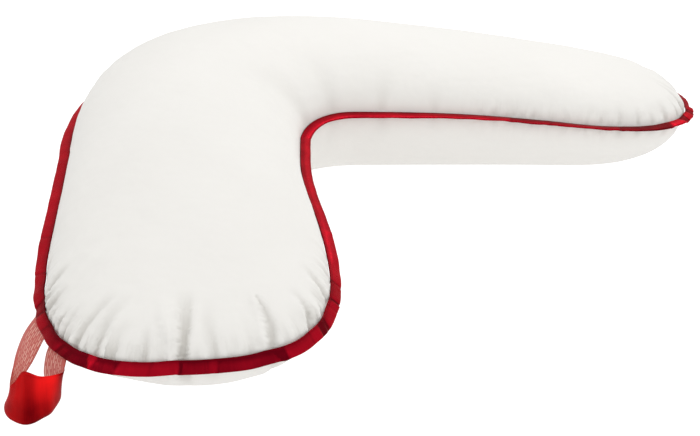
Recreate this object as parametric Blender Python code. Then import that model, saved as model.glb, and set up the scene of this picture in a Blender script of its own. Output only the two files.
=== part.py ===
"""A boomerang pillow lying on its back.

It is a filled V-shaped cushion, the flat satin binding sewn all round its seam, and a loop
of wide satin tape sewn into the seam at the outer corner of the left arm.
Metres, +Z up. The elbow points to +Y and the crook between the arms opens to -Y, with the
left arm on the -X side. The pillow's underside is flat where it lies on the floor.
"""

import bmesh
import bpy
import numpy as np

# The line down the pillow's middle: two straight arms joined by an arc round the elbow.
# A place along it is the distance from the elbow's middle, below zero on the left arm.
ARM_ANGLE = np.radians(80.9)
ELBOW_RADIUS = 0.193

# The pillow's width, from where one arm's rounded end starts to where the other's does.
WIDTHS = (
    # place, middle line to outer seam, middle line to inner seam
    (-0.428, 0.138, 0.129),
    (-0.270, 0.134, 0.122),
    (-0.135, 0.136, 0.133),
    (0.000, 0.173, 0.138),
    (0.135, 0.144, 0.135),
    (0.270, 0.136, 0.126),
    (0.428, 0.135, 0.119),
)

# The rounded ends: how far each reaches past the last width, and how square its corners are.
# Squareness 2 is an ellipse, and a larger number fills the corner out.
LEFT_END = {"reach": 0.189, "outer_corner": 2.9, "inner_corner": 2.9}
RIGHT_END = {"reach": 0.167, "outer_corner": 3.1, "inner_corner": 2.3}

# Heights above the floor, from tip to tip. The crown is the height that the filling would
# reach there, if the seam didn't draw it down.
HEIGHTS = (
    # place, seam, crown
    (-0.617, 0.056, 0.097),
    (-0.270, 0.078, 0.152),
    (0.000, 0.093, 0.177),
    (0.270, 0.090, 0.155),
    (0.595, 0.065, 0.116),
)

# The share of the width that lies flat on the floor under the filling's weight.
FLAT_SHARE = 0.47

# Puckers where the seam was eased round the ends. A place here is measured along the seam
# from the arm's tip, above zero on the outer side.
LEFT_PUCKERS = (
    # place, width, depth, reach up the side
    (0.245, 0.034, 0.0035, 0.060),
    (0.203, 0.026, 0.0040, 0.060),
    (0.160, 0.024, 0.0050, 0.060),
    (0.122, 0.022, 0.0045, 0.062),
    (0.097, 0.020, 0.0040, 0.050),
    (0.019, 0.024, 0.0060, 0.070),
    (-0.060, 0.026, 0.0060, 0.070),
    (-0.110, 0.024, 0.0045, 0.050),
    (-0.155, 0.026, 0.0045, 0.050),
)
RIGHT_PUCKERS = (
    # place, width, depth, reach up the side
    (0.190, 0.030, 0.0035, 0.050),
    (0.110, 0.026, 0.0045, 0.055),
    (0.052, 0.024, 0.0050, 0.055),
    (-0.004, 0.024, 0.0045, 0.050),
    (-0.052, 0.024, 0.0050, 0.055),
    (-0.098, 0.026, 0.0050, 0.060),
    (-0.160, 0.030, 0.0040, 0.050),
    (-0.250, 0.034, 0.0030, 0.040),
)
UNDER_REACH = 0.6    # a pucker's reach below the seam, as a share of its reach above
SEAM_SHARE = 0.3     # its depth on the seam line, where the binding stiffens the cover
DEEPEST_AT = 0.012   # the climb from the seam where it is deepest

# Mesh density
ARM_STEP = 0.019
END_STEPS = 58
UPPER_RINGS = 9
LOWER_RINGS = 7

# The binding: a folded strip of satin that stands out flat from the seam.
BINDING_WIDTH = 0.012
BINDING_THICKNESS = 0.002
BINDING_TAPER = 0.0015      # its inner edge narrows to the stitch line, its outer edge to the fold
BINDING_DROOP = (
    # place along the middle line, degrees below level
    (-0.617, 46.0),
    (-0.490, 38.0),
    (-0.370, 18.0),
    (0.000, 16.0),
    (0.180, 16.0),
    (0.360, 1.0),
    (0.500, -3.0),
    (0.560, 10.0),
    (0.595, 28.0),
)

# The tape loop. Its places are measured from a point on the seam near the left arm's outer
# corner: out from the pillow, along the seam towards the arm's tip, and up from the floor.
# Its middle bows towards the loop's inner face.
TAPE_ROOT = (-0.491, -0.385)
TAPE_OUT_HEADING = np.radians(162.9)
TAPE_THICKNESS = 0.0012
TAPE_STEPS = 5       # sections of the mesh between two rows of the table
TAPE_ROWS_MM = (
    # upper edge: out, along, up; lower edge: out, along, up; bow of the middle
    (-9, -52, 55, -1, -9, 52.6, 1),
    (-2, -51, 49, 6, -8, 46.4, 1),
    (13, -47, 36, 16, -5, 34, 1),
    (23, -39, 24, 25, -2, 25, 0),
    (34, -17, 20, 38, 4, 12, 0),
    (45, 14, 24, 50, 8, 4, 1),
    (42, 25, 34, 53, 27, 1, 1),
    (36, 30, 43, 44, 45, 1, 0),
    (29, 46, 44, 31, 46, 2, 0),
    (20, 53, 46, 18, 40, 4, 0),
    (8, 51, 46, 6, 27, 10, 0),
    (5, 42, 43, 13, 8, 17, 0),
    (6, 38, 44, 8, 1, 36, 0),
    (-2, 31, 48.6, -1, 0, 52, 0),
)

SEWN_GAP = 0.0003     # between one piece and the next
SAME_POINT = 1e-5     # points closer than this are one point
SHARP_FOLD = np.radians(50)    # edges folded more sharply than this aren't shaded smooth

# Colours are 8-bit screen values.
COVER_COTTON = {"colour": (240, 237, 231), "roughness": 0.85, "sheen": 0.2}
BINDING_SATIN = {"colour": (188, 26, 38), "roughness": 0.38, "sheen": 0.0}
TAPE_SATIN = {"colour": (206, 34, 38), "roughness": 0.35, "sheen": 0.0}
SCREEN_GAMMA = 2.2


def read_table(rows, column, places):
    """A table's column at the given places: a smooth curve through its rows, level at both ends."""
    table = np.array(rows)
    at, values = table[:, 0], table[:, column]
    slopes = np.zeros(len(at))
    slopes[1:-1] = (values[2:] - values[:-2]) / (at[2:] - at[:-2])
    places = np.clip(places, at[0], at[-1])
    row = np.clip(np.searchsorted(at, places, side="right") - 1, 0, len(at) - 2)
    step = at[row + 1] - at[row]
    share = (places - at[row]) / step
    rest = 1 - share
    level = values[row] * (1 + 2 * share) * rest**2 + values[row + 1] * (1 + 2 * rest) * share**2
    return level + step * share * rest * (slopes[row] * rest - slopes[row + 1] * share)


def middle_line(places):
    """The points of the middle line at these places, and its heading there."""
    turn = np.pi - ARM_ANGLE
    half_arc = ELBOW_RADIUS * turn / 2
    bend = np.clip(places, -half_arc, half_arc) / ELBOW_RADIUS
    straight = places - bend * ELBOW_RADIUS
    centre_y = -ELBOW_RADIUS / np.cos(turn / 2)
    heading = np.stack([np.cos(bend), -np.sin(bend)], -1)
    on_arc = np.stack([ELBOW_RADIUS * np.sin(bend), centre_y + ELBOW_RADIUS * np.cos(bend)], -1)
    return on_arc + heading * straight[:, None], heading


def rounded_end(width, end, toward, angles):
    """The seam round one end, swept from the outer side to the inner side."""
    spine, heading = middle_line(np.array([width[0]]))
    outward = np.array([-heading[0, 1], heading[0, 0]])
    across, along = np.cos(angles), np.sin(angles)
    corner = np.where(across > 0, end["outer_corner"], end["inner_corner"])
    half_width = np.where(across > 0, width[1], width[2])
    swell = (np.abs(across) ** corner + along**corner) ** (-1 / corner)
    reach = toward * end["reach"] * along * swell
    seam = spine + outward * (half_width * across * swell)[:, None] + heading * reach[:, None]
    return {
        "seam": seam,
        "spine": np.repeat(spine, len(angles), 0),
        "seam_place": width[0] + reach,
        "spine_place": np.full(len(angles), width[0]),
    }


def seam_outline():
    """The seam seen from above, once round, each point with the point of the spine it looks back to.

    It runs along the outer side from left to right, round the right end, back along the
    inner side and round the left end.
    """
    first, last = WIDTHS[0], WIDTHS[-1]
    places = np.linspace(first[0], last[0], round((last[0] - first[0]) / ARM_STEP) + 1)
    spine, heading = middle_line(places)
    outward = np.stack([-heading[:, 1], heading[:, 0]], -1)
    outer = spine + outward * read_table(WIDTHS, 1, places)[:, None]
    inner = spine - outward * read_table(WIDTHS, 2, places)[:, None]
    sides = {"spine": spine, "seam_place": places, "spine_place": places}
    angles = np.linspace(0, np.pi, END_STEPS + 1)[1:-1]
    runs = (
        {"seam": outer, **sides},
        rounded_end(last, RIGHT_END, 1, angles),
        {name: run[::-1] for name, run in {"seam": inner, **sides}.items()},
        rounded_end(first, LEFT_END, -1, angles[::-1]),
    )
    outline = {name: np.concatenate([run[name] for run in runs]) for name in runs[0]}
    outline["height"] = read_table(HEIGHTS, 1, outline["seam_place"])
    return outline


def pucker_depth(outline, climb, above):
    """How far the cover is drawn in at this climb from the seam, at each point of the outline."""
    seam = outline["seam"]
    steps = np.linalg.norm(seam - np.roll(seam, 1, 0), axis=1)
    steps[0] = 0
    walked = np.cumsum(steps)
    whole = walked[-1] + np.linalg.norm(seam[0] - seam[-1])
    depth = np.zeros(len(seam))
    tips = (np.argmin(outline["seam_place"]), np.argmax(outline["seam_place"]))
    for tip, side, puckers in ((tips[0], 1, LEFT_PUCKERS), (tips[1], -1, RIGHT_PUCKERS)):
        from_tip = side * ((walked - walked[tip] + whole / 2) % whole - whole / 2)
        for place, width, deepest, reach in puckers:
            reach = reach if above else reach * UNDER_REACH
            fade = np.clip(1 - climb / reach, 0, 1)
            start = SEAM_SHARE + (1 - SEAM_SHARE) * np.clip(climb / DEEPEST_AT, 0, 1)
            trough = np.exp(-((from_tip - place) / (width / 2)) ** 2)
            depth += deepest * trough * fade * start
    return depth


def pillow_ring(outline, lift, above):
    """One ring round the pillow, a quarter-ellipse's angle above or below the seam."""
    level, rise = np.cos(lift), np.sin(lift)
    run = outline["seam"] - outline["spine"]
    width = np.linalg.norm(run, axis=1)
    if above:
        share = np.full(len(width), level)
        place = outline["spine_place"] + (outline["seam_place"] - outline["spine_place"]) * level
        depth = read_table(HEIGHTS, 2, place) - outline["height"]
        height = outline["height"] + depth * rise
        climb = np.hypot(width, depth) * lift / (np.pi / 2)
    else:
        share = np.full(len(width), FLAT_SHARE + (1 - FLAT_SHARE) * level)
        height = outline["height"] * (1 - rise)
        climb = np.hypot(width * (1 - FLAT_SHARE), outline["height"]) * lift / (np.pi / 2)
    drawn_in = pucker_depth(outline, climb, above) * level
    share = share - drawn_in / width
    return np.column_stack([outline["spine"] + run * share[:, None], height])


def loft(name, rings, cloth, closed_round=False):
    """A solid pulled from ring to ring, each one an extrusion of the ring before it."""
    bm = bmesh.new()
    ring = [bm.verts.new(point) for point in rings[0]]
    edges = [bm.edges.new((a, b)) for a, b in zip(ring, ring[1:] + ring[:1])]
    for points in rings[1:]:
        geometry = bmesh.ops.extrude_edge_only(bm, edges=edges)["geom"]
        pulled = {v for v in geometry if isinstance(v, bmesh.types.BMVert)}
        ring = [next(e.other_vert(v) for e in v.link_edges if e.other_vert(v) in pulled) for v in ring]
        edges = [bm.edges.get((a, b)) for a, b in zip(ring, ring[1:] + ring[:1])]
        for vert, point in zip(ring, points):
            vert.co = point
    if closed_round:
        bmesh.ops.remove_doubles(bm, verts=bm.verts[:], dist=SAME_POINT)
    else:
        bmesh.ops.holes_fill(bm, edges=[e for e in bm.edges if e.is_boundary])
    bmesh.ops.recalc_face_normals(bm, faces=bm.faces[:])
    bmesh.ops.triangulate(bm, faces=bm.faces[:])
    mesh = bpy.data.meshes.new(name)
    bm.to_mesh(mesh)
    bm.free()
    mesh.shade_smooth()
    mesh.set_sharp_from_angle(angle=SHARP_FOLD)
    mesh.materials.append(cloth_material(name + "_cloth", cloth))
    obj = bpy.data.objects.new(name, mesh)
    bpy.context.scene.collection.objects.link(obj)
    return obj


def cloth_material(name, cloth):
    """A plain material in the cloth's own colour."""
    material = bpy.data.materials.new(name)
    material.use_nodes = True
    shader = material.node_tree.nodes["Principled BSDF"]
    linear = [(value / 255) ** SCREEN_GAMMA for value in cloth["colour"]]
    shader.inputs["Base Color"].default_value = (*linear, 1)
    shader.inputs["Roughness"].default_value = cloth["roughness"]
    shader.inputs["Metallic"].default_value = 0
    shader.inputs["Sheen Weight"].default_value = cloth["sheen"]
    return material


def build_pillow(outline):
    """The filled pillow, from the crown's ridge over the seam to the flat underside."""
    upper = np.linspace(np.pi / 2, 0, UPPER_RINGS + 1)
    lower = np.linspace(0, np.pi / 2, LOWER_RINGS + 1)[1:]
    rings = [pillow_ring(outline, lift, above=True) for lift in upper]
    rings += [pillow_ring(outline, lift, above=False) for lift in lower]
    rings.append(np.column_stack([outline["spine"], np.zeros(len(outline["spine"]))]))
    return loft("pillow", rings, COVER_COTTON, closed_round=True)


def build_edge_binding(outline):
    """The flat binding: a thin section carried once round the seam, drooping a little."""
    seam = pillow_ring(outline, 0, above=True)
    ahead = np.roll(seam, -1, 0)[:, :2] - np.roll(seam, 1, 0)[:, :2]
    outward = np.column_stack([-ahead[:, 1], ahead[:, 0]])
    outward = np.column_stack([outward / np.linalg.norm(outward, axis=1)[:, None], np.zeros(len(seam))])
    droop = np.radians(read_table(BINDING_DROOP, 1, outline["seam_place"]))[:, None]
    upward = np.array([0, 0, 1])
    across = outward * np.cos(droop) - upward * np.sin(droop)
    normal = outward * np.sin(droop) + upward * np.cos(droop)
    half = BINDING_THICKNESS / 2
    edge = SEWN_GAP + BINDING_WIDTH
    profile = (
        (SEWN_GAP, 0),
        (SEWN_GAP + BINDING_TAPER, half),
        (edge - BINDING_TAPER, half),
        (edge, 0),
        (edge - BINDING_TAPER, -half),
        (SEWN_GAP + BINDING_TAPER, -half),
    )
    sections = np.stack([seam + across * out + normal * up for out, up in profile], axis=1)
    sections = np.concatenate([sections, sections[:1]])
    return loft("edge_binding", sections, BINDING_SATIN, closed_round=True)


def smooth_rows(rows, steps):
    """A smooth curve through the rows, each column on its own (Catmull-Rom)."""
    ends = np.concatenate([2 * rows[:1] - rows[1:2], rows, 2 * rows[-1:] - rows[-2:-1]])
    shares = np.linspace(0, 1, steps, endpoint=False)[:, None]
    curve = []
    for before, start, stop, after in zip(ends, ends[1:], ends[2:], ends[3:]):
        linear = stop - before
        square = 2 * before - 5 * start + 4 * stop - after
        cube = 3 * start - before - 3 * stop + after
        curve.append(start + 0.5 * (linear * shares + square * shares**2 + cube * shares**3))
    return np.concatenate(curve + [rows[-1:]])


def build_tape_loop():
    """The tape, lofted between its two edges with the same thickness all along."""
    rows = smooth_rows(np.array(TAPE_ROWS_MM) / 1000, TAPE_STEPS)
    out = np.array([np.cos(TAPE_OUT_HEADING), np.sin(TAPE_OUT_HEADING), 0])
    along = np.array([-out[1], out[0], 0])
    frame = np.stack([out, along, (0, 0, 1)])
    root = np.array([*TAPE_ROOT, 0])
    upper, lower = root + rows[:, :3] @ frame, root + rows[:, 3:6] @ frame
    middle = (upper + lower) / 2
    normal = np.cross(upper - lower, np.gradient(middle, axis=0))
    normal /= np.linalg.norm(normal, axis=1)[:, None]
    middle += normal * rows[:, 6:]
    half = normal * TAPE_THICKNESS / 2
    faces = [upper - half, middle - half, lower - half, lower + half, middle + half, upper + half]
    return loft("tape_loop", np.stack(faces, axis=1), TAPE_SATIN)


def stand_at_origin(objects):
    """Moves the pieces together, so that the origin is under the middle of the object's box."""
    points = np.array([vert.co for obj in objects for vert in obj.data.vertices])
    low, high = points.min(0), points.max(0)
    middle = (low + high) / 2
    for obj in objects:
        for vert in obj.data.vertices:
            vert.co.x -= middle[0]
            vert.co.y -= middle[1]


def main():
    for obj in list(bpy.data.objects):
        bpy.data.objects.remove(obj)
    outline = seam_outline()
    stand_at_origin([build_pillow(outline), build_edge_binding(outline), build_tape_loop()])


main()
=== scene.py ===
"""A white boomerang pillow, bound in red satin all round, with a loop of red tape at one corner."""

import bmesh
import bpy
import numpy as np
from mathutils import Matrix, Vector
from mathutils.kdtree import KDTree


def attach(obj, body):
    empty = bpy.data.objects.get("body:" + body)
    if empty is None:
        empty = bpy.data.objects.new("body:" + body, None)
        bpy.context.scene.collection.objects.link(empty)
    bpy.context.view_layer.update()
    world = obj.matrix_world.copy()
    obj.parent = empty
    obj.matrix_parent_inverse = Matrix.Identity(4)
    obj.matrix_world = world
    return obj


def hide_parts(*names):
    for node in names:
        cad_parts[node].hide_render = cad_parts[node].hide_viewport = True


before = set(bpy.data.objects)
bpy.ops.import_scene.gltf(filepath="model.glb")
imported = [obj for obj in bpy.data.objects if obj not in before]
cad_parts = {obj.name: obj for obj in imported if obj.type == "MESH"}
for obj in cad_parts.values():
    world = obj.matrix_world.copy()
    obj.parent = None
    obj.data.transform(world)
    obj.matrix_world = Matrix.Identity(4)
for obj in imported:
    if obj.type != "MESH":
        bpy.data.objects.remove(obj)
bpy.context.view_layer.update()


# The seam
# The case is a top and a bottom panel, sewn together once round the pillow. The binding is
# caught in that seam, so the seam is read here from the sewn edge of the binding's solid.
ARM_ANGLE = np.radians(80.9)
LEFT_ARM = np.array([-np.sin(ARM_ANGLE / 2), -np.cos(ARM_ANGLE / 2)])
RIGHT_ARM = LEFT_ARM * (-1, 1)
SAME_POINT = 1e-5
EDGE_ANGLE = np.radians(70)
SEAM_STEP = 0.002
SEAM_SMOOTHING = 8       # points on the smooth seam for each point on the solid's edge


def edge_runs(node):
    """The two edges of a strip's solid, each as a run of points from the left arm's tip."""
    bm = bmesh.new()
    bm.from_mesh(node.data)
    bmesh.ops.remove_doubles(bm, verts=bm.verts[:], dist=SAME_POINT)
    linked = {}
    for edge in bm.edges:
        if edge.calc_face_angle() > EDGE_ANGLE:
            for vert in edge.verts:
                linked.setdefault(vert, []).append(edge.other_vert(vert))
    runs = []
    while linked:
        run = [next(iter(linked))]
        while onward := [vert for vert in linked.pop(run[-1]) if vert in linked]:
            run.append(onward[0])
        runs.append(np.array([vert.co for vert in run]))
    bm.free()
    sewn, folded = sorted(runs, key=lambda run: np.linalg.norm(run - np.roll(run, 1, 0), axis=1).sum())
    sewn, folded = clockwise(sewn), clockwise(folded)
    sewn = np.roll(sewn, -np.argmax(sewn[:, :2] @ LEFT_ARM), 0)
    folded = np.roll(folded, -np.argmin(np.linalg.norm(folded - sewn[0], axis=1)), 0)
    return sewn, folded


def clockwise(run):
    """A closed run of points, turned to go clockwise seen from above."""
    ahead = np.roll(run, -1, 0)
    area = (run[:, 0] * ahead[:, 1] - ahead[:, 0] * run[:, 1]).sum()
    return run[::-1] if area > 0 else run


def smooth_through(rows, steps, closed):
    """A smooth curve through the rows, each column on its own (Catmull-Rom)."""
    if closed:
        rows = np.concatenate([rows[-1:], rows, rows[:2]])
    else:
        rows = np.concatenate([2 * rows[:1] - rows[1:2], rows, 2 * rows[-1:] - rows[-2:-1]])
    share = np.linspace(0, 1, steps, endpoint=False)[:, None]
    curve = []
    for before, start, stop, after in zip(rows, rows[1:], rows[2:], rows[3:]):
        slope = stop - before
        square = 2 * before - 5 * start + 4 * stop - after
        cube = 3 * start - before - 3 * stop + after
        curve.append(start + 0.5 * (slope * share + square * share**2 + cube * share**3))
    return np.concatenate(curve if closed else curve + [rows[-2:-1]])


def walked(points):
    """How far along the line each of its points lies."""
    return np.concatenate([[0], np.cumsum(np.linalg.norm(np.diff(points, axis=0), axis=1))])


edge_rows = np.hstack(edge_runs(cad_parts["edge_binding"]))
binding_rows = smooth_through(edge_rows, SEAM_SMOOTHING, closed=True)
binding_rows = np.concatenate([binding_rows, binding_rows[:1]])
walk = walked(binding_rows[:, :3])
seam_length = walk[-1]
along = np.linspace(0, seam_length, round(seam_length / SEAM_STEP), endpoint=False)
binding_rows = np.stack([np.interp(along, walk, column) for column in binding_rows.T], axis=1)
seam, binding_fold = binding_rows[:, :3], binding_rows[:, 3:]
right_tip = along[np.argmax(seam[:, :2] @ RIGHT_ARM)]


def round_seam(arm, place):
    """A place by an arm's tip (above zero on the outer side) as a distance along the whole seam."""
    return place % seam_length if arm == "left" else (right_tip - place) % seam_length


def apart(places, centre):
    """How far each place on the seam is from the centre, the short way round."""
    return (places - centre + seam_length / 2) % seam_length - seam_length / 2


# The pillow
# A V-shaped case of white percale, filled plump with polyester fibre. The fibre pushes the
# panels out between the seams, and the cover puckers where the seam was eased round the ends.
FACE_SIZE = 0.0075
PUSH = 4                 # the filling's pressure
CLOTH_STEPS = 20
MOST_MOVEMENT = 0.006
PINNED = 0.003           # cover this close to the seam stays, and half as close to the floor
EASED = (  # arm, place by its tip, spread along the seam, how much the cloth is eased
    ("left", 0.20, 0.10, 0.9),
    ("left", 0.11, 0.06, 1.0),
    ("left", 0.00, 0.06, 0.4),
    ("left", -0.16, 0.08, 0.8),
    ("right", 0.12, 0.10, 0.7),
    ("right", -0.02, 0.08, 0.7),
    ("right", -0.23, 0.05, 0.3),
    ("right", -0.32, 0.05, 0.25),
)
EASED_REACH = 0.03
SPARE_CLOTH = 0.06       # how much larger than its place the cloth is where it is fully eased
LEAST_SPARE = 0.01
BROAD_ROUNDS = 40        # averaging rounds that pick out the swell, which the cut of the case holds back
SEAM_HOLD = 0.015        # about this close to the seam the swell isn't held back
FOLDS = (  # arm, place by its tip, width, depth (below zero a ridge), reach, lean: in mm but the lean
    # the left arm's outer corner
    ("left", 264, 7, 1.9, 17, 0.4), ("left", 238, 6, 0.5, 10, 0.4), ("left", 214, 9, 2.5, 38, 0.4),
    ("left", 203, 6, 1.2, 18, 0.4), ("left", 193, 6, 0.5, 14, 0.4), ("left", 184, 8, 1.9, 32, 0.4),
    ("left", 173, 6, 1.3, 18, 0.4), ("left", 164, 7, 0.8, 24, 0.3), ("left", 154, 7, 1.6, 26, 0.3),
    ("left", 143, 8, 1.4, 36, 0.2), ("left", 122, 11, 1.9, 62, 0.1), ("left", 110, 7, 0.6, 26, 0.0),
    ("left", 98, 11, 1.4, 64, 0.1), ("left", 78, 15, 0.5, 44, 0.0),
    # the left arm's end
    ("left", 64, 8, 0.6, 26, 0.0), ("left", 51, 8, 1.3, 36, 0.0), ("left", 29, 10, -1.5, 66, 0.0),
    ("left", 19, 11, 2.2, 72, 0.0), ("left", 8, 16, 0.5, 45, 0.0), ("left", -8, 14, 0.9, 60, 0.1),
    ("left", -25, 10, 0.4, 30, 0.0), ("left", -40, 10, 0.4, 44, -0.1), ("left", -50, 9, -0.7, 90, -0.2),
    ("left", -60, 14, 1.6, 90, -0.2), ("left", -73, 18, 0.6, 56, -0.1),
    # the left arm's inner corner
    ("left", -88, 10, 0.5, 30, -0.2), ("left", -107, 9, 1.6, 42, -0.6), ("left", -122, 7, 0.5, 22, -0.4),
    ("left", -134, 8, 0.8, 26, -0.5), ("left", -156, 11, 1.6, 40, -0.6), ("left", -173, 7, 0.5, 20, -0.3),
    ("left", -188, 8, 0.8, 28, -0.5), ("left", -206, 8, 0.3, 24, -0.3), ("left", -232, 12, 0.4, 36, 0.0),
    # the right arm's inner side, from the elbow out
    ("right", -585, 30, 0.5, 110, 0.0), ("right", -540, 26, 0.4, 110, 0.0),
    ("right", -480, 20, 0.5, 60, 0.1), ("right", -415, 16, 0.4, 40, 0.0), ("right", -360, 8, 0.5, 15, 0.1),
    ("right", -342, 9, 0.5, 13, 0.0), ("right", -318, 8, 0.7, 17, 0.1), ("right", -306, 8, 0.5, 13, 0.0),
    ("right", -292, 9, 0.7, 18, 0.1), ("right", -270, 8, 0.4, 14, 0.0), ("right", -238, 9, 0.3, 15, 0.0),
    ("right", -209, 8, 0.7, 18, 0.1), ("right", -183, 9, 0.8, 30, 0.0), ("right", -158, 8, 1.0, 26, 0.0),
    ("right", -136, 10, 0.8, 24, 0.0), ("right", -112, 10, 0.9, 34, 0.0),
    # the right arm's end
    ("right", -84, 10, 1.0, 36, 0.1), ("right", -60, 11, 1.6, 60, 0.1), ("right", -30, 12, 1.2, 60, 0.0),
    ("right", 0, 12, 0.7, 60, 0.0), ("right", 18, 11, 0.6, 50, 0.0), ("right", 36, 11, 0.7, 52, 0.1),
    ("right", 56, 11, 0.6, 46, 0.1), ("right", 76, 10, 0.5, 44, 0.0), ("right", 98, 10, 0.7, 50, 0.1),
    ("right", 122, 11, 0.6, 45, 0.0), ("right", 151, 10, 0.5, 40, 0.1), ("right", 184, 12, 0.5, 38, 0.0),
    ("right", 226, 11, 0.4, 32, 0.0),
)
FOLD_DEPTH = 2.0         # what all the depths in the table are multiplied by
FOLD_SHOULDER = 1.5      # how much the cover swells on each side of a fold
SLIGHT_FOLD = 0.0003     # faces in deeper folds than this are made finer
DEEP_FOLD = 0.0035       # a fold this deep gets the full painted shade
FOLD_AT_SEAM = 0.3       # the share of its depth that a fold has right at the seam
FOLD_RISE = 0.005        # how far from the seam it would be whole, had it started there from nothing
BELLY = (  # arm, place by its tip, spread along the seam, how far the underside stands out
    ("left", 0.000, 0.055, 0.007), ("left", 0.090, 0.045, -0.010), ("left", -0.100, 0.030, -0.005),
)
BELLY_GAP, BELLY_SPREAD = 0.06, 0.03     # how far below the seam it is fullest, and its spread
UNDER_SHARE = 0.6        # a fold's reach below the seam, as a share of its reach above
SEAM_ROUND = 0.0022      # cover this close to the seam is drawn right in to it
# WHITE is the cover's own colour; SHADED_WHITE is the darker end of its faint random mottle and the colour
# of the painted shade in fold hollows and between gather strokes
WHITE = (0.86, 0.845, 0.81)
SHADED_WHITE = (0.61, 0.59, 0.55)
THREAD = 0.0005
THREAD_HEIGHT = 0.00003
RUMPLE, RUMPLE_HEIGHT = 16, 0.0035       # the scale and the height of the cover's soft unevenness
MOTTLE, MOTTLE_SHARE = 7, 0.2            # the scale and the strength of its faint patches
GATHERS, GATHER_HEIGHT = 130, 0.0012     # the scale and the height of the fine strokes by the seam
GATHER_RANGE = (0.36, 0.56)              # the part of their pattern that makes the strokes
GATHER_STRETCH = 0.22                    # a stroke's width as a share of its length
GATHER_REACH = 0.016


def shown(obj):
    """The mesh that an object's modifiers make."""
    return bpy.data.meshes.new_from_object(obj.evaluated_get(bpy.context.evaluated_depsgraph_get()))


def each_point(mesh, field):
    """One value of three numbers at each point of the mesh."""
    values = np.empty(len(mesh.vertices) * 3, np.float32)
    mesh.vertices.foreach_get(field, values)
    return values.reshape(-1, 3).astype(float)


def put_object(name, mesh):
    """An object at the origin, with its place in its mesh."""
    obj = bpy.data.objects.new(name, mesh)
    bpy.context.scene.collection.objects.link(obj)
    return obj


def unit(vectors):
    """The vectors, each made 1 long."""
    return vectors / np.linalg.norm(vectors, axis=-1, keepdims=True)


seam_tree = KDTree(len(seam))
for index, point in enumerate(seam):
    seam_tree.insert(point, index)
seam_tree.balance()


def by_the_seam(points):
    """For each point, the nearest point of the seam by its number, and the distance to it."""
    found = [seam_tree.find(point) for point in points]
    return np.array([index for _, index, _ in found]), np.array([gap for _, _, gap in found])


def eased(places):
    """How much the cloth is eased in at each place along the seam."""
    amount = np.zeros(len(places))
    for arm, centre, spread, most in EASED:
        amount = np.maximum(amount, most * np.exp(-((apart(places, round_seam(arm, centre)) / spread) ** 2)))
    return amount


def broad_part(mesh, moves):
    """The broad part of the moves: each averaged with its neighbours', round after round."""
    ends = np.empty(len(mesh.edges) * 2, np.int32)
    mesh.edges.foreach_get("vertices", ends)
    here, there = np.concatenate([ends.reshape(-1, 2), ends.reshape(-1, 2)[:, ::-1]]).T
    neighbours = np.bincount(here, minlength=len(moves))[:, None]
    for _ in range(BROAD_ROUNDS):
        total = np.stack([np.bincount(here, column[there], len(moves)) for column in moves.T], axis=1)
        moves = (moves + total / neighbours) / 2
    return moves


def fold_height(places, gap, below):
    """How far the folds lift the cover, above zero, or sink it."""
    height = np.zeros(len(places))
    for arm, centre, width, depth, reach, lean in FOLDS:
        reach = reach / 1000 * np.where(below, UNDER_SHARE, 1)
        middle = round_seam(arm, centre / 1000 + lean * gap)
        across = apart(places, middle) / (width / 2000 * (1 + gap / reach))
        fade = np.clip(1 - gap / reach, 0, 1) * np.clip(FOLD_AT_SEAM + gap / FOLD_RISE, 0, 1)
        height -= FOLD_DEPTH * depth / 1000 * fade * (1 - FOLD_SHOULDER * across**2) * np.exp(-(across**2))
    return height


def folds_on(mesh):
    """The folds' height at each point of the cover, and where the point lies by the seam.

    That is the nearest point of the seam, by its number, the distance to it, and if it is below it.
    """
    points = each_point(mesh, "co")
    nearest, gap = by_the_seam(points)
    below = points[:, 2] < seam[nearest, 2]
    return fold_height(along[nearest], gap, below), nearest, gap, below


bm = bmesh.new()
bm.from_mesh(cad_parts["pillow"].data)
bmesh.ops.remove_doubles(bm, verts=bm.verts[:], dist=SAME_POINT)
pillow_mesh = bpy.data.meshes.new("filled_pillow")
bm.to_mesh(pillow_mesh)
bm.free()
pillow = put_object("filled_pillow", pillow_mesh)
even_faces = pillow.modifiers.new("even_faces", "REMESH")
even_faces.mode = "VOXEL"
even_faces.voxel_size = FACE_SIZE
pillow.data = shown(pillow)
pillow.modifiers.clear()

start = each_point(pillow.data, "co")
nearest, gap = by_the_seam(start)
sewn = pillow.vertex_groups.new(name="sewn")
sewn.add(np.flatnonzero((gap < PINNED) | (start[:, 2] < PINNED / 2)).tolist(), 1, "REPLACE")
loose = pillow.vertex_groups.new(name="loose")
spare = eased(along[nearest]) * np.exp(-gap / EASED_REACH)
for index in np.flatnonzero(spare > LEAST_SPARE).tolist():
    loose.add([index], float(spare[index]), "REPLACE")
filling = pillow.modifiers.new("filling", "CLOTH")
settings = filling.settings
settings.use_pressure = True
settings.uniform_pressure_force = PUSH
settings.effector_weights.gravity = 0
settings.vertex_group_mass = "sewn"
settings.shrink_min = 0
settings.shrink_max = -SPARE_CLOTH
settings.vertex_group_shrink = "loose"
filling.point_cache.frame_end = CLOTH_STEPS
for step in range(1, CLOTH_STEPS + 1):
    bpy.context.scene.frame_set(step)
settled = shown(pillow)
bpy.context.scene.frame_set(1)
pillow.modifiers.clear()
pillow.vertex_groups.clear()
move = each_point(settled, "co") - start
move -= broad_part(pillow.data, move) * (1 - np.exp(-gap / SEAM_HOLD))[:, None]
far = np.maximum(np.linalg.norm(move, axis=1), SAME_POINT)[:, None]
move = move * np.tanh(far / MOST_MOVEMENT) * MOST_MOVEMENT / far
pillow.data.vertices.foreach_set("co", (start + move).ravel())

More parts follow.
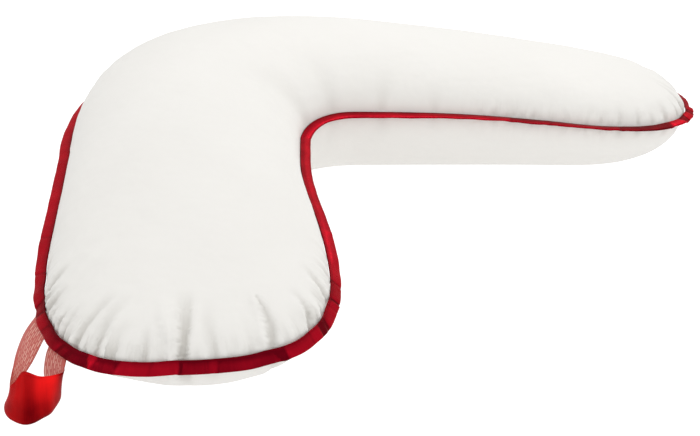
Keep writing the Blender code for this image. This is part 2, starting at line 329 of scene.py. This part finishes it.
finer = pillow.modifiers.new("finer", "SUBSURF")
finer.levels = 1
finer.render_levels = 1
pillow.data = shown(pillow)
pillow.modifiers.clear()
folds = folds_on(pillow.data)[0]
bm = bmesh.new()
bm.from_mesh(pillow.data)
folded = [edge for edge in bm.edges if all(abs(folds[vert.index]) > SLIGHT_FOLD for vert in edge.verts)]
bmesh.ops.subdivide_edges(bm, edges=folded, cuts=1, smooth=1, use_grid_fill=True)
bm.to_mesh(pillow.data)
bm.free()
folds, nearest, gap, below = folds_on(pillow.data)
cover = each_point(pillow.data, "co") + each_point(pillow.data, "normal") * folds[:, None]
belly = below * np.exp(-(((gap - BELLY_GAP) / BELLY_SPREAD) ** 2))
belly *= sum(
    out * np.exp(-((apart(along[nearest], round_seam(arm, place)) / spread) ** 2))
    for arm, place, spread, out in BELLY
)
cover[:, :2] += unit((binding_fold - seam)[nearest, :2]) * belly[:, None]
drawn_in = np.clip(1 - gap / SEAM_ROUND, 0, 1)[:, None]
cover += (seam[nearest] - cover) * drawn_in
cover[:, 2] = np.maximum(cover[:, 2], 0)
pillow.data.vertices.foreach_set("co", cover.ravel())
pillow.data.shade_smooth()

turn = along[nearest] / seam_length * 2 * np.pi
seam_radius = seam_length / (2 * np.pi)
round_the_seam = np.stack([np.cos(turn) * seam_radius, np.sin(turn) * seam_radius, gap], axis=1)
gathered = eased(along[nearest]) * np.exp(-((gap / GATHER_REACH) ** 2))
# painted shade: the deeper a fold's hollow, the darker the cover's colour is painted
painted_fold_shade = np.clip(-folds / DEEP_FOLD, 0, 1)
for name, kind, field, values in (
    ("round_seam", "FLOAT_VECTOR", "vector", round_the_seam.ravel()),
    ("gathered", "FLOAT", "value", gathered),
    ("painted_fold_shade", "FLOAT", "value", painted_fold_shade),
):
    pillow.data.attributes.new(name, kind, "POINT").data.foreach_set(field, values)


def new_material(name, roughness, sheen=0.0):
    """A material, with the numbers that are the same all over it set on its own shader."""
    material = bpy.data.materials.new(name)
    material.use_nodes = True
    shader = material.node_tree.nodes["Principled BSDF"]
    shader.inputs["Roughness"].default_value = roughness
    shader.inputs["Sheen Weight"].default_value = sheen
    return material


def add_node(tree, kind, inputs, **settings):
    """A new node. Each input is a number or colour to set, or a socket to link it to."""
    node = tree.nodes.new("ShaderNode" + kind)
    for name, value in settings.items():
        setattr(node, name, value)
    for name, value in inputs.items():
        if isinstance(value, bpy.types.NodeSocket):
            tree.links.new(value, node.inputs[name])
        else:
            node.inputs[name].default_value = value
    return node


def maths(tree, operation, *values):
    """The result of one operation on numbers or sockets."""
    return add_node(tree, "Math", dict(enumerate(values)), operation=operation).outputs[0]


def noise(tree, place, scale, **more):
    """A soft random pattern, from 0 to 1."""
    return add_node(tree, "TexNoise", {"Vector": place, "Scale": scale, **more}).outputs["Fac"]


def spread_out(tree, value, span):
    """The value, with the span's two ends moved out to 0 and 1."""
    ends = {"From Min": span[0], "From Max": span[1]}
    return add_node(tree, "MapRange", {"Value": value, **ends}).outputs["Result"]


def mixed(tree, share, first, second):
    """A colour that goes from the first to the second as the share goes from 0 to 1."""
    colours = {
        name: colour if isinstance(colour, bpy.types.NodeSocket) else (*colour, 1)
        for name, colour in (("Color1", first), ("Color2", second))
    }
    return add_node(tree, "MixRGB", {"Fac": share, **colours}).outputs["Color"]


def raised_by(tree, height):
    """The surface's direction where it is raised by this height in metres."""
    return add_node(tree, "Bump", {"Height": height, "Distance": 1.0, "Strength": 1.0}).outputs["Normal"]


def wave_scale(pitch):
    """The scale at which a Wave Texture's bands lie this far apart."""
    return 2 * np.pi / (20 * pitch)


percale = new_material("white_percale", roughness=0.85, sheen=0.15)
tree = percale.node_tree
on_cloth = add_node(tree, "TexCoord", {}).outputs["Object"]
by_seam = add_node(tree, "Attribute", {}, attribute_name="round_seam").outputs["Vector"]
eased_here = add_node(tree, "Attribute", {}, attribute_name="gathered").outputs["Fac"]
# the painted shade of the fold hollows
painted_fold_shade_here = add_node(tree, "Attribute", {}, attribute_name="painted_fold_shade").outputs["Fac"]
bands = {"Vector": on_cloth, "Scale": wave_scale(THREAD), "Distortion": 0.4, "Detail Scale": 0.3}
threads = [
    add_node(tree, "TexWave", bands, bands_direction=direction).outputs["Fac"]
    for direction in ("X", "Y")
]
weave = maths(tree, "MAXIMUM", *threads)
rumple = noise(tree, on_cloth, RUMPLE, Detail=3, Roughness=0.5)
stretched = add_node(tree, "Mapping", {"Vector": by_seam, "Scale": (1, 1, GATHER_STRETCH)}).outputs["Vector"]
strokes = spread_out(tree, noise(tree, stretched, GATHERS, Detail=1, Distortion=0.5), GATHER_RANGE)
gather_height = maths(tree, "MULTIPLY", maths(tree, "MULTIPLY", strokes, eased_here), GATHER_HEIGHT)
soft_height = maths(tree, "MULTIPLY_ADD", rumple, RUMPLE_HEIGHT, gather_height)
height = maths(tree, "MULTIPLY_ADD", weave, THREAD_HEIGHT, soft_height)
mottle = noise(tree, on_cloth, MOTTLE, Detail=4)
# painted shade: where the seam is eased, the cover's colour is darkened between the raised gather strokes
painted_shade_between_strokes = maths(tree, "MULTIPLY", maths(tree, "SUBTRACT", 1, strokes), eased_here)
shade = maths(tree, "ADD", painted_fold_shade_here, maths(tree, "MULTIPLY_ADD", mottle, MOTTLE_SHARE, painted_shade_between_strokes))
shader = tree.nodes["Principled BSDF"]
# the cover's colour: its own white, with its random mottle and the painted shade of the fold hollows and
# gathers
tree.links.new(mixed(tree, shade, WHITE, SHADED_WHITE), shader.inputs["Base Color"])
tree.links.new(raised_by(tree, height), shader.inputs["Normal"])
pillow.data.materials.clear()
pillow.data.materials.append(percale)
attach(pillow, "root")
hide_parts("pillow")


# The binding
# A strip of red satin, folded in half over the seam's raw edge and stitched down through both
# layers. It stands out flat, and tucks and ripples where it was eased round the ends.
# The strip's light and shade, stretch by stretch, in the tucks and along the seam, are painted into the
# satin's colour.
SATIN = 0.0003
STITCH_LINE = 0.17       # where the stitches press it down, as a share of its width
BINDING_SECTION = (  # share of the width, half the strip's thickness in mm
    (0.00, 0.45), (0.08, 0.72), (STITCH_LINE, 0.40), (0.27, 0.82),
    (0.50, 0.98), (0.75, 0.92), (0.90, 0.74), (0.975, 0.42), (1.00, 0.00),
)
TUCKS = (  # arm, place by its tip, width and depth in mm, lean, how lit the strip is painted up to it
    ("left", 330, 6, 0.4, 0.4, 0.70), ("left", 262, 5, 0.5, 0.4, 0.60), ("left", 214, 4, 0.9, -0.3, 0.30),
    ("left", 192, 5, 1.0, 0.3, 0.50), ("left", 168, 5, 0.5, 0.3, 0.35), ("left", 130, 5, 1.3, 0.5, 0.20),
    ("left", 119, 6, 1.4, 0.4, 0.10), ("left", 104, 5, 1.3, -0.5, 0.85), ("left", 90, 5, 0.7, 0.3, 0.25),
    ("left", 72, 5, 0.5, 0.3, 0.60), ("left", 44, 5, 0.3, 0.3, 0.55), ("left", 20, 4, 1.6, 0.1, 0.35),
    ("left", -2, 5, 0.3, 0.1, 0.40), ("left", -12, 5, 0.4, 0.2, 0.28), ("left", -59, 7, 1.5, -0.6, 0.10),
    ("left", -66, 5, 1.3, -0.2, 0.55), ("left", -100, 5, 0.5, 0.2, 0.65), ("left", -117, 5, 1.4, 0.3, 0.15),
    ("left", -128, 5, 1.0, 0.3, 0.60), ("left", -152, 5, 0.4, 0.2, 0.65),
    ("left", -163, 5, 1.7, -0.1, 0.60), ("left", -196, 5, 0.7, 0.3, 0.75),
    ("left", -300, 6, 0.3, 0.3, 0.55), ("right", -318, 8, 0.4, 0.5, 0.30),
    ("right", -268, 8, 0.4, 0.4, 0.40), ("right", -184, 8, 0.5, 0.3, 0.10),
    ("right", -110, 5, 0.8, 0.2, 0.85), ("right", -88, 6, 1.0, -0.4, 0.35),
    ("right", -70, 5, 1.3, 0.4, 0.90), ("right", -52, 4, 0.9, 0.3, 0.35),
    ("right", -45, 5, 1.3, -0.3, 0.80), ("right", -24, 5, 1.4, 0.3, 0.45), ("right", 20, 5, 1.2, 0.4, 0.60),
    ("right", 88, 5, 1.0, -0.3, 0.50), ("right", 132, 5, 0.8, 0.3, 0.65), ("right", 190, 5, 0.5, 0.2, 0.55),
    ("right", 280, 6, 0.4, 0.2, 0.75),
)
TUCK_SWELL = 0.5         # how much the satin swells beside a tuck, as a share of its depth
TUCK_SWELL_AT = 1.8      # how far off that is, in half widths of the tuck
TUCK_AT_SEAM = 0.15      # the share of its depth that a tuck has at the seam
TUCK_SHADE = 0.5         # how much painted shade darkens the satin in a tuck 1 mm deep
TUCK_SHADE_NARROW = 2    # how many times narrower than the tuck that is
SEAM_SHADE = 0.35        # how much painted shade darkens it by the seam
SEAM_SHADE_WIDTH = 0.25  # how far that goes, as a share of the strip's width
LEVEL_LIT = 0.5          # how lit a stretch is that isn't turned
TURN_AT_TUCK = np.radians(16)      # from the darkest stretch to the most lit
RIPPLES = (  # length in mm, height in mm
    (31, 0.22), (47, 0.30), (83, 0.35),
)
RIPPLE_WHERE_FLAT = 0.45     # the share of their height where the strip isn't eased
STILL_BY_TAPE = ("left", 0.155, 0.045)      # arm, place and spread: the tape's ends hold it still
# the binding's satin is painted between BINDING_RED where lit and its dark copy where shaded
BINDING_RED = (0.62, 0.006, 0.022)
BINDING_PAINTED_SHADE = (0.13, 0.0008, 0.006)
SATIN_THREAD = 0.00035
SATIN_THREAD_HEIGHT = 0.00002
STREAKS, STREAK_WIDTH = 700, 0.06        # the scale of the fine streaks, and their width by their length
STREAK_HEIGHT, STREAK_SHARE = 0.00003, 0.15
PATCHES, PATCH_SHARE = 42, 0.5           # the scale of the soft shading, and its strength
SHADE_RANGE = (0.4, 1.4)                 # from the darkest satin to the most lit
SATIN_ROUGHNESS, SATIN_METALLIC, SATIN_IOR, SATIN_GLOSS_STRETCH = 0.36, 0.45, 1.15, 0.6
SATIN_GLOSS = (1, 0.15, 0.15)


def grid_sheet(name, points, lit):
    """A sheet through rows of points, with UVs in metres: along it, then across. lit is its painted light.
    """
    bm = bmesh.new()
    lit_layer = bm.verts.layers.float.new("lit")
    on_sheet = bm.loops.layers.uv.new("cloth")
    rows, columns = points.shape[:2]
    bmesh.ops.create_grid(bm, x_segments=columns - 1, y_segments=rows - 1, size=1, calc_uvs=True)
    for vert, point, light in zip(bm.verts, points.reshape(-1, 3), lit.ravel()):
        vert.co = point
        vert[lit_layer] = light
    middle = columns // 2
    length = walked(points[:, middle])
    width = walked(points[rows // 2])
    for face in bm.faces:
        for loop in face.loops:
            across, down = loop[on_sheet].uv
            row, column = round(down * (rows - 1)), round(across * (columns - 1))
            loop[on_sheet].uv = (length[row], width[column])
    bmesh.ops.remove_doubles(bm, verts=bm.verts[:], dist=SAME_POINT)
    mesh = bpy.data.meshes.new(name)
    bm.to_mesh(mesh)
    bm.free()
    mesh.shade_smooth()
    return mesh


section = np.array(BINDING_SECTION)
section = np.concatenate([section, section[-2::-1] * (1, -1)])
width_share, half_thick = section[:, 0], section[:, 1] / 1000
outward = binding_fold - seam
strip_width = np.linalg.norm(outward, axis=1).mean()
ahead = unit(np.roll(seam, -1, 0) - np.roll(seam, 1, 0))
strip_up = unit(np.cross(unit(outward), ahead))
strip_up *= np.sign(strip_up[:, 2:])

arm, place, spread = STILL_BY_TAPE
free = 1 - np.exp(-((apart(along, round_seam(arm, place)) / spread) ** 2))
ripple = sum(
    height / 1000 * np.sin(2 * np.pi * round(seam_length / (length / 1000)) * along / seam_length + length)
    for length, height in RIPPLES
)
ripple *= free * (RIPPLE_WHERE_FLAT + eased(along))
lift = ripple[:, None] * width_share
tucks = sorted(TUCKS, key=lambda tuck: round_seam(tuck[0], tuck[1] / 1000))
passed, painted_tuck_shade = 0, 0
for arm, place, width, depth, lean, lit_before in tucks:
    middle = round_seam(arm, place / 1000) + lean * width_share * strip_width
    passed = passed + (along[:, None] >= middle)
    across = apart(along[:, None], middle) / (width / 2000)
    tuck = np.exp(-(across**2)) - TUCK_SWELL * np.exp(-((across - TUCK_SWELL_AT) ** 2))
    # painted shade in each tuck's trough
    painted_tuck_shade = painted_tuck_shade + TUCK_SHADE * depth * np.exp(-((TUCK_SHADE_NARROW * across) ** 2))
    lift -= depth / 1000 * tuck * (TUCK_AT_SEAM + (1 - TUCK_AT_SEAM) * width_share) * free[:, None]
# painted light: how lit each stretch of the strip is painted, from the table
lit = np.array([tuck[5] for tuck in tucks])[passed % len(tucks)]
lit = (np.roll(lit, 1, 0) + lit + np.roll(lit, -1, 0)) / 3
# the painted light, less the painted shade in the tucks and along the seam
lit_in_tuck = lit - painted_tuck_shade - SEAM_SHADE * np.exp(-((width_share / SEAM_SHADE_WIDTH) ** 2))
lift += (lit - LEVEL_LIT) * np.tan(TURN_AT_TUCK) * width_share * strip_width * free[:, None]

strip = seam[:, None] + outward[:, None] * width_share[:, None]
strip = strip + strip_up[:, None] * (half_thick + lift)[..., None]
closed = np.append(np.arange(len(strip)), 0)
binding = put_object("satin_binding", grid_sheet("satin_binding", strip[closed], lit_in_tuck[closed]))
satin_thickness = binding.modifiers.new("satin_thickness", "SOLIDIFY")
satin_thickness.thickness = SATIN
satin_thickness.offset = -1


def satin_weave():
    """Satin: long smooth threads that run across the strip, with fine streaks and soft shading. Its colour
    is painted from Dark to Lit as its Light input says.
    """
    group = bpy.data.node_groups.new("satin_weave", "ShaderNodeTree")
    for way, name, kind in (
        ("INPUT", "Cloth", "Vector"), ("INPUT", "Lit", "Color"), ("INPUT", "Dark", "Color"),
        ("INPUT", "Thread", "Float"), ("INPUT", "Light", "Float"),
        ("OUTPUT", "Colour", "Color"), ("OUTPUT", "Height", "Float"),
    ):
        group.interface.new_socket(name, in_out=way, socket_type="NodeSocket" + kind)
    given = group.nodes.new("NodeGroupInput").outputs
    cloth = given["Cloth"]
    streaky = add_node(group, "Mapping", {"Vector": cloth, "Scale": (1, STREAK_WIDTH, 1)}).outputs["Vector"]
    streaks = noise(group, streaky, STREAKS, Detail=2)
    patches = noise(group, cloth, PATCHES, Detail=2)
    scale = maths(group, "DIVIDE", wave_scale(1), given["Thread"])
    bands = {"Vector": cloth, "Scale": scale}
    threads = add_node(group, "TexWave", bands, bands_direction="X").outputs["Fac"]
    shade = maths(group, "MULTIPLY_ADD", patches, PATCH_SHARE, given["Light"])
    shade = spread_out(group, maths(group, "MULTIPLY_ADD", streaks, STREAK_SHARE, shade), SHADE_RANGE)
    fine = maths(group, "MULTIPLY", threads, SATIN_THREAD_HEIGHT)
    out = group.nodes.new("NodeGroupOutput")
    group.links.new(mixed(group, shade, given["Dark"], given["Lit"]), out.inputs["Colour"])
    group.links.new(maths(group, "MULTIPLY_ADD", streaks, STREAK_HEIGHT, fine), out.inputs["Height"])
    return group


satin_group = satin_weave()


def placed_weave(tree, thread, lit, dark, light=None):
    """The satin's weave in a material, on the piece's own UV map."""
    inputs = {"Thread": thread, "Lit": (*lit, 1), "Dark": (*dark, 1)}
    weave = add_node(tree, "Group", {}, node_tree=satin_group)
    for name, value in inputs.items():
        weave.inputs[name].default_value = value
    tree.links.new(add_node(tree, "UVMap", {}, uv_map="cloth").outputs["UV"], weave.inputs["Cloth"])
    if light is not None:
        tree.links.new(light, weave.inputs["Light"])
    return weave.outputs


def satin_material(name, lit, dark):
    """Red satin whose gloss runs along the strip, and whose colour is painted from lit to shaded as its
    attribute says.
    """
    material = new_material(name, roughness=SATIN_ROUGHNESS)
    tree = material.node_tree
    shader = tree.nodes["Principled BSDF"]
    shader.inputs["Metallic"].default_value = SATIN_METALLIC
    shader.inputs["IOR"].default_value = SATIN_IOR
    shader.inputs["Specular Tint"].default_value = (*SATIN_GLOSS, 1)
    shader.inputs["Anisotropic"].default_value = SATIN_GLOSS_STRETCH
    light = add_node(tree, "Attribute", {}, attribute_name="lit").outputs["Fac"]
    weave = placed_weave(tree, SATIN_THREAD, lit, dark, light)
    run = add_node(tree, "Tangent", {}, direction_type="UV_MAP", uv_map="cloth").outputs["Tangent"]
    tree.links.new(weave["Colour"], shader.inputs["Base Color"])
    tree.links.new(raised_by(tree, weave["Height"]), shader.inputs["Normal"])
    tree.links.new(run, shader.inputs["Tangent"])
    return material


binding.data.materials.append(satin_material("binding_satin", BINDING_RED, BINDING_PAINTED_SHADE))
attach(binding, "root")
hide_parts("edge_binding")


# The stitches
# One row of machine stitches in red thread, which goes through both layers of the binding and
# shows on both faces. Each stitch pulls a little into the satin.
STITCH_PITCH = 0.003
STITCH_LONG = 0.0023
STITCH_THICK = 0.00045
STITCH_STANDS = 0.15     # how far its middle is above the satin, as a share of its thickness
PLY = 1500               # the scale of the thread's twist
THREAD_RED = (0.50, 0.014, 0.022)

bm = bmesh.new()
across = int(np.argmin(np.abs(width_share[:len(BINDING_SECTION)] - STITCH_LINE)))
for place in np.arange(0, seam_length - STITCH_PITCH / 2, STITCH_PITCH):
    index = round(place / SEAM_STEP) % len(along)
    for column, up in ((across, 1), (len(width_share) - 1 - across, -1)):
        middle = strip[index, column] + strip_up[index] * up * STITCH_THICK * STITCH_STANDS
        side = np.cross(strip_up[index], ahead[index])
        turned = Matrix(np.stack([ahead[index], side, strip_up[index]], axis=1).tolist()).to_4x4()
        sizes = Matrix.Diagonal((STITCH_LONG, STITCH_THICK, STITCH_THICK, 1))
        placed = Matrix.Translation(middle) @ turned @ sizes
        bmesh.ops.create_icosphere(bm, subdivisions=1, radius=0.5, matrix=placed)
stitch_mesh = bpy.data.meshes.new("binding_stitches")
bm.to_mesh(stitch_mesh)
bm.free()
stitch_mesh.shade_smooth()
stitches = put_object("binding_stitches", stitch_mesh)
thread = new_material("polyester_thread", roughness=0.45)
tree = thread.node_tree
ply = noise(tree, add_node(tree, "TexCoord", {}).outputs["Object"], PLY)
tree.links.new(mixed(tree, ply, THREAD_RED, BINDING_RED), tree.nodes["Principled BSDF"].inputs["Base Color"])
stitch_mesh.materials.append(thread)
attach(stitches, "root")


# The tape loop
# A length of wide satin tape, sewn into the seam at both ends and left to hang as a loop by
# the arm's outer corner. Its back is paler, with woven rows of plain broken dashes.
TAPE_ROOT = (-0.4640, -0.1440, 0)
TAPE_OUT_HEADING = np.radians(162.9)
TAPE_THICK = 0.0005
TAPE_COLUMNS = 13
TAPE_STEPS = 12          # rows of the sheet for each row of the table
TAPE_ROWS_MM = (
    # upper edge: out, along, up; lower edge: out, along, up; bow of the middle
    (-9, -52, 55, -1, -9, 52.6, 1),
    (-2, -51, 49, 6, -8, 46.4, 1),
    (13, -47, 36, 16, -5, 34, 1),
    (23, -39, 24, 25, -2, 25, 0),
    (34, -17, 20, 38, 4, 12, 0),
    (45, 14, 24, 50, 8, 4, 1),
    (42, 25, 34, 53, 27, 1, 1),
    (36, 30, 43, 44, 45, 1, 0),
    (29, 46, 44, 31, 46, 2, 0),
    (20, 49, 43.5, 18, 40, 4, 0),
    (9, 48, 42.5, 6, 27, 10, 0),
    (5, 42.5, 43.5, 13, 8, 17, 0),
    (3, 39, 44, 8, 1, 36, 0),
    (-2, 31, 48.6, -1, 0, 52, 0),
)
TAPE_CREASES = (  # row of the table, width in rows, height in mm, lean in rows
    (5.4, 0.35, 0.3, 0.3), (7.0, 0.30, 0.8, -0.2), (8.0, 0.45, -0.7, 0.2), (8.9, 0.35, 0.6, -0.3),
    (2.4, 0.50, 0.5, 0.4), (10.4, 0.40, 0.6, 0.3),
)
TAPE_LIT = (  # row of the table, share across from the upper edge, how lit it is painted
    (4.5, 0.5, 0.30), (5.6, 0.3, 0.45), (5.6, 0.9, 0.30), (6.6, 0.3, 0.65), (6.6, 0.8, 0.35),
    (7.3, 0.2, 0.45), (7.4, 0.8, 0.05), (8.2, 0.2, 1.00), (8.3, 0.8, 0.15), (9.1, 0.3, 1.15),
    (9.3, 0.8, 0.20), (10.0, 0.4, 0.15),
)
TAPE_LIT_SPREAD = 0.45
LEAST_WEIGHT = 1e-6      # what each place has everywhere, so that the weights never add up to nothing
# the tape's face is painted between TAPE_RED where lit and its dark copy where shaded
TAPE_RED = (0.92, 0.012, 0.012)
TAPE_PAINTED_SHADE = (0.16, 0.0008, 0.003)
BACK_PINK = (0.66, 0.170, 0.110)
BACK_PLAIN = (0.54, 0.085, 0.060)
DASH_PINK = (0.80, 0.42, 0.33)
BACK_THREAD = 0.0005
DASH_LONG, DASH_PITCH, DASH_GAP = 0.0085, 0.0036, 0.33       # the gap is a share of the pitch
DASH_BIAS, DASH_SOFT = 0.2, 0.3          # how many dashes are bright, and how soft their edges are
DASH_HEIGHT = 0.0001
DASH_SHAKE, DASH_SHAKE_BY = 300, (0.0012, 0.0009, 0)         # the scale and the size of their unevenness
PLAIN_MARGIN = 0.006

rows = smooth_through(np.array(TAPE_ROWS_MM) / 1000, TAPE_STEPS, closed=False)
out = np.array([np.cos(TAPE_OUT_HEADING), np.sin(TAPE_OUT_HEADING), 0])
axes = np.stack([out, (-out[1], out[0], 0), (0, 0, 1)])
upper, lower = (rows[:, columns] @ axes + TAPE_ROOT for columns in (slice(0, 3), slice(3, 6)))
share = np.linspace(0, 1, TAPE_COLUMNS)[:, None]
face_out = unit(np.cross(upper - lower, np.gradient((upper + lower) / 2, axis=0)))
bow = rows[:, 6:7] * (1 - (2 * share[:, 0] - 1) ** 2)
row_number = np.arange(len(rows))[:, None] / TAPE_STEPS
for row, width, height, lean in TAPE_CREASES:
    off = (row_number - row - lean * (share[:, 0] - 0.5)) / width
    bow = bow - height / 1000 * np.exp(-(off**2))
tape_points = upper[:, None] * (1 - share) + lower[:, None] * share + face_out[:, None] * bow[..., None]
# painted light on the tape's face, spread out from the table
near_row = (row_number[..., None] - np.array(TAPE_LIT)[:, 0]) / TAPE_LIT_SPREAD
near_share = (share - np.array(TAPE_LIT)[:, 1]) / TAPE_LIT_SPREAD
weight = np.exp(-(near_row**2) - near_share**2) + LEAST_WEIGHT
tape_lit = (weight * np.array(TAPE_LIT)[:, 2]).sum(axis=2) / weight.sum(axis=2)
tape_mesh = grid_sheet("tape_loop_satin", tape_points, tape_lit)
tape = put_object("tape_loop_satin", tape_mesh)
tape_thickness = tape.modifiers.new("tape_thickness", "SOLIDIFY")
tape_thickness.thickness = TAPE_THICK
tape_thickness.offset = 0
tape_thickness.material_offset = 1
tape_thickness.material_offset_rim = 0

tape_back = new_material("tape_back", roughness=0.55, sheen=0.1)
tree = tape_back.node_tree
shader = tree.nodes["Principled BSDF"]
on_cloth = add_node(tree, "UVMap", {}, uv_map="cloth").outputs["UV"]
wavy = add_node(tree, "TexNoise", {"Vector": on_cloth, "Scale": DASH_SHAKE, "Detail": 1}).outputs["Color"]
shaken = add_node(tree, "VectorMath", {0: wavy, 1: DASH_SHAKE_BY}, operation="MULTIPLY").outputs[0]
drawn = add_node(tree, "VectorMath", {0: on_cloth, 1: shaken}, operation="ADD").outputs[0]
black, white = (0, 0, 0, 1), (1, 1, 1, 1)
dashes = add_node(tree, "TexBrick", {
    "Vector": drawn, "Scale": 1, "Color1": black, "Color2": white, "Mortar": black, "Bias": DASH_BIAS,
    "Mortar Size": DASH_PITCH * DASH_GAP, "Mortar Smooth": DASH_SOFT,
    "Brick Width": DASH_LONG, "Row Height": DASH_PITCH,
}).outputs["Color"]
across_tape = add_node(tree, "SeparateXYZ", {"Vector": on_cloth}).outputs["Y"]
dashed = maths(tree, "MULTIPLY", dashes, maths(tree, "GREATER_THAN", across_tape, PLAIN_MARGIN))
weave = placed_weave(tree, BACK_THREAD, BACK_PINK, BACK_PLAIN)
height = maths(tree, "MULTIPLY_ADD", dashed, DASH_HEIGHT, weave["Height"])
tree.links.new(mixed(tree, dashed, weave["Colour"], DASH_PINK), shader.inputs["Base Color"])
tree.links.new(raised_by(tree, height), shader.inputs["Normal"])
tape_mesh.materials.append(satin_material("tape_satin", TAPE_RED, TAPE_PAINTED_SHADE))
tape_mesh.materials.append(tape_back)
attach(tape, "root")
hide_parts("tape_loop")


# The floor, the light and the camera
# A plain pale floor under plain soft studio light, seen from the height and the side from
# which the pillow was photographed.
CAMERA_AT = (-1.0007, -0.9748, 0.5819)
CAMERA_LOOKS = (0.7438, 0.6684)
CAMERA_PITCH = np.radians(23.62)
FOCAL_LENGTH = 64.1
FLOOR_HALF = 40
FLOOR_BELOW = 0.0005
FLOOR_GREY = (0.35, 0.35, 0.35)
LIGHT_WHITE = (1, 1, 1, 1)
FLOOR_GLOW, FLOOR_GLOW_SEEN = 0.68, 0.26     # its own light, and how much more of it the camera sees
ROOM_LIGHT = 0.66
LIGHTS = (  # name, place, size in metres, power in watts
    ("key", (1.35, 0.15, 1.9), 0.6, 14),
    ("above", (0.2, 0.4, 2.6), 1.6, 9),
    ("front", (-0.3, -1.9, 1.0), 1.5, 6),
    ("side", (-1.9, 0.7, 1.3), 1.2, 6),
)

bm = bmesh.new()
bmesh.ops.create_grid(bm, x_segments=1, y_segments=1, size=FLOOR_HALF)
floor_mesh = bpy.data.meshes.new("floor")
bm.to_mesh(floor_mesh)
bm.free()
floor = put_object("floor", floor_mesh)
floor.location.z = -FLOOR_BELOW
pale = new_material("pale_floor", roughness=0.8)
tree = pale.node_tree
shader = tree.nodes["Principled BSDF"]
shader.inputs["Base Color"].default_value = (*FLOOR_GREY, 1)
shader.inputs["Emission Color"].default_value = LIGHT_WHITE
seen = add_node(tree, "LightPath", {}).outputs["Is Camera Ray"]
glow = maths(tree, "MULTIPLY_ADD", seen, FLOOR_GLOW_SEEN, FLOOR_GLOW)
tree.links.new(glow, shader.inputs["Emission Strength"])
floor_mesh.materials.append(pale)

world = bpy.data.worlds.new("studio")
world.use_nodes = True
room = world.node_tree.nodes["Background"]
room.inputs["Color"].default_value = LIGHT_WHITE
room.inputs["Strength"].default_value = ROOM_LIGHT
bpy.context.scene.world = world

for name, at, size, power in LIGHTS:
    light = bpy.data.lights.new(name, "AREA")
    light.size = size
    light.energy = power
    lamp = bpy.data.objects.new(name, light)
    lamp.location = at
    lamp.rotation_euler = (Vector((0, 0, 0)) - lamp.location).to_track_quat("-Z", "Y").to_euler()
    bpy.context.scene.collection.objects.link(lamp)

camera_data = bpy.data.cameras.new("camera")
camera_data.lens = FOCAL_LENGTH
camera = bpy.data.objects.new("camera", camera_data)
camera.location = CAMERA_AT
looks = Vector((*np.array(CAMERA_LOOKS) * np.cos(CAMERA_PITCH), -np.sin(CAMERA_PITCH)))
camera.rotation_euler = looks.to_track_quat("-Z", "Y").to_euler()
bpy.context.scene.collection.objects.link(camera)
bpy.context.scene.camera = camera
bpy.context.scene.view_settings.view_transform = "Standard"
